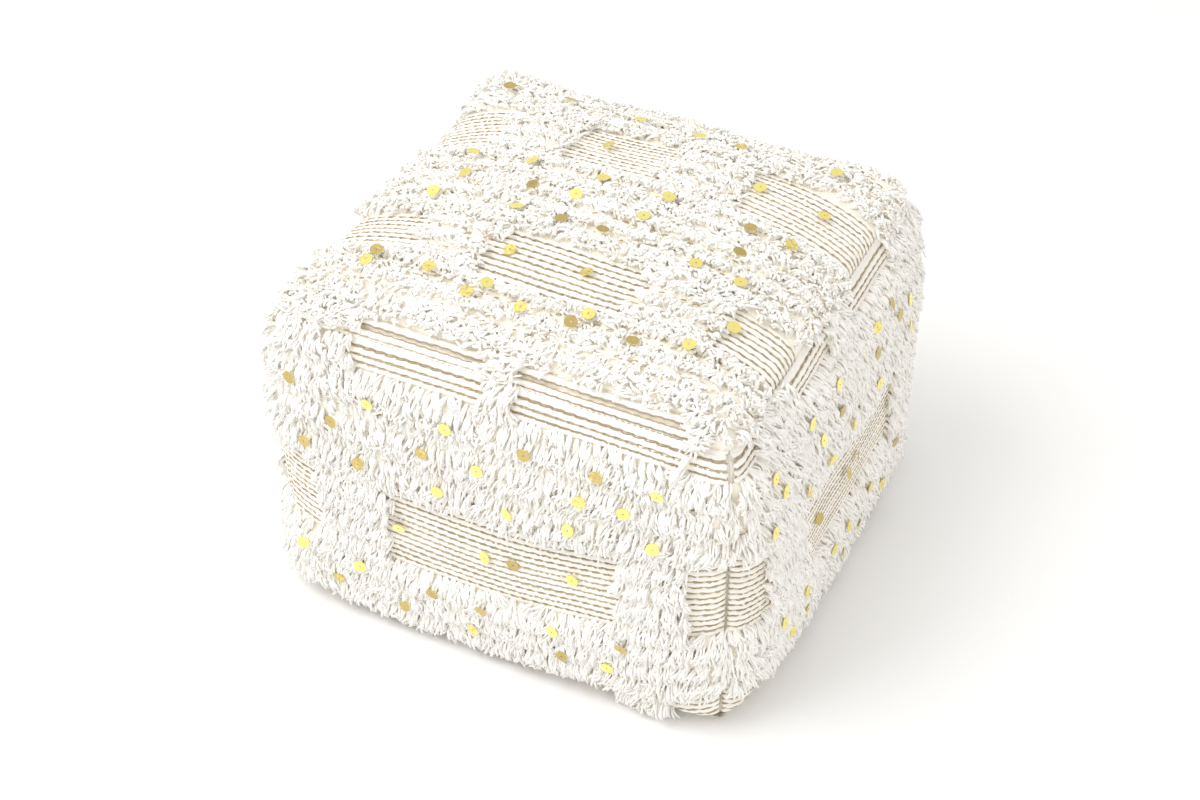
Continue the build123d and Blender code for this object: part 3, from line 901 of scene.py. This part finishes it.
def metal(name, stops, roughness, wear_scale):
    """Thin metal with painted reflection: its colour turns lighter or darker with each facet's slant, as if
    it mirrored bright or dark surroundings, and fine rubbed marks.
    """
    material, tree, shader = new_material(name)
    place = tree.nodes.new("ShaderNodeTexCoord").outputs["Object"]
    # Painted reflection: noise over each facet's true normal makes facets lighter or darker by their slant.
    painted_reflection = add_node(tree, "ShaderNodeTexNoise", Scale=painted_reflection_scale, Detail=0.0)
    tree.links.new(tree.nodes.new("ShaderNodeNewGeometry").outputs["True Normal"], painted_reflection.inputs["Vector"])
    marks = add_node(tree, "ShaderNodeTexNoise", Scale=wear_scale, Detail=5.0)
    tree.links.new(place, marks.inputs["Vector"])
    shade = blended(tree, painted_reflection.outputs["Fac"], marks.outputs["Fac"], painted_reflection_share)
    tree.links.new(ramp(tree, shade, stops), shader.inputs["Base Color"])
    rough = tree.nodes.new("ShaderNodeMapRange")
    rough.inputs["To Min"].default_value = roughness * 0.7
    rough.inputs["To Max"].default_value = roughness * 1.4
    tree.links.new(marks.outputs["Fac"], rough.inputs["Value"])
    tree.links.new(rough.outputs["Result"], shader.inputs["Roughness"])
    bump(tree, shader, marks.outputs["Fac"], 0.2, 0.05, flat=True)
    shader.inputs["Metallic"].default_value = 1.0
    return material


pile_wool = wool(
    "pile_wool",
    ((0.0, (0.95, 0.91, 0.85)), (0.4, (0.98, 0.96, 0.92)), (1.0, (0.99, 0.98, 0.955))),
    900.0, 0.3, 0.3,
)
# The root mat's warmer, darker colour is painted shade in the gaps between the tufts.
pile_roots_painted_shade = wool("pile_roots_painted_shade", ((0.0, (0.93, 0.86, 0.74)), (1.0, (0.98, 0.94, 0.86))), 900.0, 0.3, 0.2)
ribbed_wool = wool(
    "ribbed_wool",
    ((0.0, (0.86, 0.82, 0.76)), (0.5, (0.93, 0.90, 0.85)), (1.0, (0.96, 0.94, 0.91))),
    1100.0, 0.5, 0.1,
)
tan_thread = wool(
    "tan_thread",
    ((0.0, (0.35, 0.26, 0.15)), (0.6, (0.50, 0.40, 0.25)), (1.0, (0.64, 0.53, 0.34))),
    1500.0, 0.2, 0.0,
)
wool_cloth = woven("wool_cloth", (0.88, 0.84, 0.77), (0.62, 0.54, 0.42), 1.6, 0.5)
canvas_cloth = woven("canvas_cloth", (0.80, 0.75, 0.66), (0.56, 0.50, 0.41), 0.9, 0.3)
liner_cotton = woven("liner_cotton", (0.88, 0.87, 0.84), (0.70, 0.69, 0.66), 0.6, 0.2)
tape_cloth = woven("tape_cloth", (0.84, 0.80, 0.72), (0.62, 0.58, 0.50), 0.7, 0.2)
# The khaki stops are painted dark reflection and the bright yellow stops painted bright reflection, picked by
# each sequin's slant.
sequin_gold = metal(
    "sequin_gold",
    (
        (0.3, (0.56, 0.44, 0.17)),
        (0.44, (0.66, 0.52, 0.21)),
        (0.48, (1.0, 0.86, 0.28)),
        (0.7, (1.0, 0.94, 0.34)),
    ),
    0.34,
    300.0,
)
# The brass's darker and lighter ends are painted reflection too, set by each facet's slant.
zip_brass = metal("zip_brass", ((0.0, (0.55, 0.42, 0.20)), (1.0, (0.78, 0.62, 0.34))), 0.32, 500.0)
tooth_resin = wool("tooth_resin", ((0.0, (0.70, 0.66, 0.58)), (1.0, (0.82, 0.78, 0.70))), 700.0, 0.1, 0.0)
liner.data.materials.clear()
liner.data.materials.append(liner_cotton)

# ---------------------------------------------------------------- panels with their yarns
def dress(panel, woven_bands, pile_areas):
    """Makes one panel's cloth, ribs, threads and pile, gives each its material, attaches it to the pouf and
    hides the CAD pieces it replaces.
    """
    cloth = surfaces[panel].sheet(f"{panel}_cloth")
    solid = cloth.modifiers.new("Thickness", "SOLIDIFY")
    solid.thickness = cloth_thickness * MM
    solid.offset = -1.0
    cloth.data.materials.append(wool_cloth)
    ribs, threads = [], []
    for band, gaps, edged in woven_bands:
        more_ribs, more_threads = woven_band(panel, band, gaps, edged)
        ribs += more_ribs
        threads += more_threads
    for band, span, _ in pile_areas:
        threads += knot_threads(panel, band, span)
    rib_piece = join_tubes(f"{panel}_ribs", ribs)
    rib_piece.data.materials.append(ribbed_wool)
    thread_piece = join_tubes(f"{panel}_threads", threads)
    thread_piece.data.materials.append(tan_thread)
    yarns = [
        strands(panel, tuft_places(panel, band, span, ragged), band) for band, span, ragged in pile_areas
    ]
    piles = grow_pile(f"{panel}_shag", yarns)
    for pile in piles:
        pile.data.materials.append(pile_wool)
    mats = join_tubes(f"{panel}_shag_roots", [root_mat(panel, *area[:2]) for area in pile_areas])
    mats.data.materials.append(pile_roots_painted_shade)
    piles.append(mats)
    for piece in (cloth, rib_piece, thread_piece, *piles):
        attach(piece, "pouf")
    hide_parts(f"{panel}_panel")
    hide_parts(f"{panel}_woven_bands")
    for pile in piles:
        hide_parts(f"{panel}_pile")


def covered(windows):
    """The spans along a side that windows leave under the pile."""
    edges = [everywhere[0], *(edge for window in sorted(windows) for edge in window), everywhere[1]]
    return [(low, high) for low, high in zip(edges[::2], edges[1::2]) if high > low]


def as_gaps(spans):
    """Spans as (middle, width)."""
    return [((low + high) / 2, high - low) for low, high in spans]


def blocks_in(blocks, band_number):
    """(middle, width) of the pile blocks in one woven band."""
    return [(middle, width) for middle, width, number in blocks if number == band_number]


def block_area(block, bands):
    """The pile area of one block, a little taller than its band."""
    middle, width, number = block
    low, high = bands[number]
    return (low - 2.0, high + 2.0), (middle - width / 2, middle + width / 2), 5.0


top_strip_spans = covered(edge_windows["front"])
dress(
    "top",
    [(band, blocks_in(top_pile_blocks, number), False) for number, band in enumerate(top_woven_bands)]
    + [(top_edge_strip, as_gaps(top_strip_spans), True)],
    [(band, everywhere, 0.0) for band in top_pile_bands]
    + [block_area(block, top_woven_bands) for block in top_pile_blocks]
    + [(top_edge_strip, span, 3.0) for span in top_strip_spans],
)
for wall in wall_frames:
    strip_spans = covered(edge_windows[wall] + corner_windows[wall])
    dress(
        wall,
        [(band, blocks_in(wall_pile_blocks, number), False) for number, band in enumerate(wall_woven_bands)]
        + [(wall_edge_strip, as_gaps(strip_spans), False)],
        [(band, everywhere, 0.0) for band in wall_pile_bands]
        + [block_area(block, wall_woven_bands) for block in wall_pile_blocks]
        + [(wall_edge_strip, span, 3.0) for span in strip_spans],
    )

# ---------------------------------------------------------------- seams
seam_cord_radius = {"top": 2.8, "corner": 1.1}
corner_cord_depth = 1.5
cord_corners = 8
cord_swell = 0.08
cord_swell_points = 3.0
cord_tip = 0.1
corner_cord_rings = 120


def seam_cord(name, lines, radius):
    """A rolled seam edge along each line, given as (points, normals)."""
    parts = []
    for points, normals in lines:
        plump = 1 + cord_swell * smooth_noise(len(points), cord_swell_points, len(points))
        plump[[0, -1]] = cord_tip
        profile = radius * plump[:, None, None] * ring(cord_corners)
        parts.append(tubes(points[None], normals[None], profile[None]))
    piece = join_tubes(name, parts)
    piece.data.materials.append(ribbed_wool)
    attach(piece, "pouf")


top_lines, corner_lines = [], []
names = list(wall_frames)
for wall, following in zip(names, names[1:] + names[:1]):
    u = surfaces[wall].u
    top_lines.append(surfaces[wall].at(u, np.full_like(u, top_seam_height)))
    v = np.linspace(base_seam_height, top_seam_height, corner_cord_rings)
    here, facing = surfaces[wall].at(np.full_like(v, wall_half[wall]), v)
    there, facing_there = surfaces[following].at(np.full_like(v, -wall_half[following]), v)
    facing = unit(facing + facing_there)
    corner_lines.append(((here + there) / 2 - facing * corner_cord_depth, facing))
seam_cord("top_seam_roll", top_lines, seam_cord_radius["top"])
seam_cord("corner_seam_rolls", corner_lines, seam_cord_radius["corner"])

# ---------------------------------------------------------------- canvas base
base_nodes = [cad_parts[f"base_{half}_half"] for half in ("left", "right")]
base_points, base_polygons = [], []
for node in base_nodes:
    offset = len(base_points)
    base_points += [tuple(p) for p in coordinates(node.data)]
    base_polygons += [tuple(i + offset for i in p.vertices) for p in node.data.polygons]
base_tree = BVHTree.FromPolygons(base_points, base_polygons)
base_half_u = base_straight[0] + base_bend_radius * base_bend_angle
base_half_v = base_straight[1] + base_bend_radius * base_bend_angle
base_spans = {
    "left": (-base_half_u, -zip_slot_half_width),
    "right": (zip_slot_half_width, base_half_u),
}
for half, u_span in base_spans.items():
    surface = Surface(base_rays, base_tree, u_span, (-base_half_v, base_half_v), 0.0, valleys=False)
    piece = surface.sheet(f"base_canvas_{half}")
    solid = piece.modifiers.new("Thickness", "SOLIDIFY")
    solid.thickness = canvas_thickness * MM
    solid.offset = -1.0
    piece.data.materials.append(canvas_cloth)
    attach(piece, "pouf")
    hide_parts(f"base_{half}_half")

# ---------------------------------------------------------------- zip tapes
tape_step = 4.0
tape_ripple = 0.15
tape_ripple_size = 25.0
tape_ripple_seed = 17
tape_ripple_shift = 900.0


def zip_tape(side):
    """The woven tape that carries one row of the zip's teeth, sewn flat inside the canvas."""
    node = f"zip_tape_{side}"
    corners = coordinates(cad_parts[node].data)
    low, high = corners.min(axis=0), corners.max(axis=0)
    width, length, thickness = high - low
    x, y = np.meshgrid(
        np.linspace(low[0], high[0], int(width / tape_step) + 2),
        np.linspace(low[1], high[1], int(length / tape_step) + 2),
    )
    ripple = field_noise(x, y, tape_ripple_size, tape_ripple_seed, tape_ripple_shift)
    z = (low[2] + high[2]) / 2 + tape_ripple * ripple
    points = np.stack([x, y, z], axis=-1).reshape(-1, 3)
    piece = mesh_object(f"zip_tape_cloth_{side}", points, grid_faces(*x.shape))
    solid = piece.modifiers.new("Thickness", "SOLIDIFY")
    solid.thickness = thickness * MM
    solid.offset = 0.0
    piece.data.materials.append(tape_cloth)
    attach(piece, "pouf")
    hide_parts(node)


for side in ("left", "right"):
    zip_tape(side)

# ---------------------------------------------------------------- CAD pieces that stay
finishes = {
    "zip_teeth_left": (tooth_resin, "zip_teeth"),
    "zip_teeth_right": (tooth_resin, "zip_teeth"),
    "zip_top_stops": (zip_brass, "zip_metal"),
    "zip_bottom_stop": (zip_brass, "zip_metal"),
    "zip_slider": (zip_brass, "zip_metal"),
    "zip_pull": (zip_brass, "zip_metal"),
}
finishes.update({f"{panel}_sequins": (sequin_gold, "gold_sequin") for panel in surfaces})
weld_distance = 0.01
crisp_angle = 35.0
for node, (finish, slot) in finishes.items():
    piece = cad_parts[node]
    piece.data.materials.clear()
    piece.data.materials.append(finish)
    piece.modifiers.new("Weld", "WELD").merge_threshold = weld_distance * MM
    crisp = piece.modifiers.new("Crisp", "EDGE_SPLIT")
    crisp.split_angle = math.radians(crisp_angle)
    crisp.use_edge_sharp = False

# ---------------------------------------------------------------- floor, light, camera
floor_reach = 15000.0
floor_white = 0.93
pouf_middle = (0, 0, 0.2)
sky_colour = (1.0, 0.99, 0.97, 1.0)
sky_strength = 0.88
light_bounces = 10  # white wool passes light on many times
camera_place = (0.7128, -1.4521, 1.5097)
camera_down = 40.2  # degrees under level
camera_turn = 26.2  # degrees from looking along Y
camera_lens = 66.0
floor_corners = [(x * floor_reach, y * floor_reach, 0) for x, y in ((-1, -1), (1, -1), (1, 1), (-1, 1))]
floor = mesh_object("floor", floor_corners, [(0, 1, 2, 3)])
floor_paint, _, floor_shader = new_material("floor_paint")
floor_shader.inputs["Base Color"].default_value = (floor_white, floor_white, floor_white, 1.0)
floor_shader.inputs["Roughness"].default_value = 0.9
floor.data.materials.append(floor_paint)
floor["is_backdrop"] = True


def area_light(name, place, size, power):
    """A soft square light that faces the pouf."""
    lamp = bpy.data.lights.new(name, "AREA")
    lamp.size = size
    lamp.energy = power
    holder = bpy.data.objects.new(name, lamp)
    holder.location = place
    holder.rotation_euler = (Vector(pouf_middle) - Vector(place)).to_track_quat("-Z", "Y").to_euler()
    bpy.context.scene.collection.objects.link(holder)


area_light("key_light", place=(-1.1, -1.1, 2.5), size=1.8, power=42.0)
area_light("fill_light", place=(2.2, -1.4, 1.6), size=2.0, power=8.0)

world = bpy.data.worlds.new("studio")
world.use_nodes = True
world.node_tree.nodes["Background"].inputs["Color"].default_value = sky_colour
world.node_tree.nodes["Background"].inputs["Strength"].default_value = sky_strength
bpy.context.scene.world = world
bpy.context.scene.view_settings.view_transform = "Standard"
bpy.context.scene.cycles.diffuse_bounces = light_bounces

camera_data = bpy.data.cameras.new("camera")
camera_data.lens = camera_lens
camera_data.sensor_width = 36.0
camera = bpy.data.objects.new("camera", camera_data)
camera.location = camera_place
camera.rotation_euler = (math.radians(90 - camera_down), 0, math.radians(camera_turn))
bpy.context.scene.collection.objects.link(camera)
bpy.context.scene.camera = camera

# ---------------------------------------------------------------- sizes, for comparing with the CAD box
sizes = {"cad": cad_box, "visual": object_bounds()}
{name: [list(corner) for corner in box] for name, box in sizes.items()}
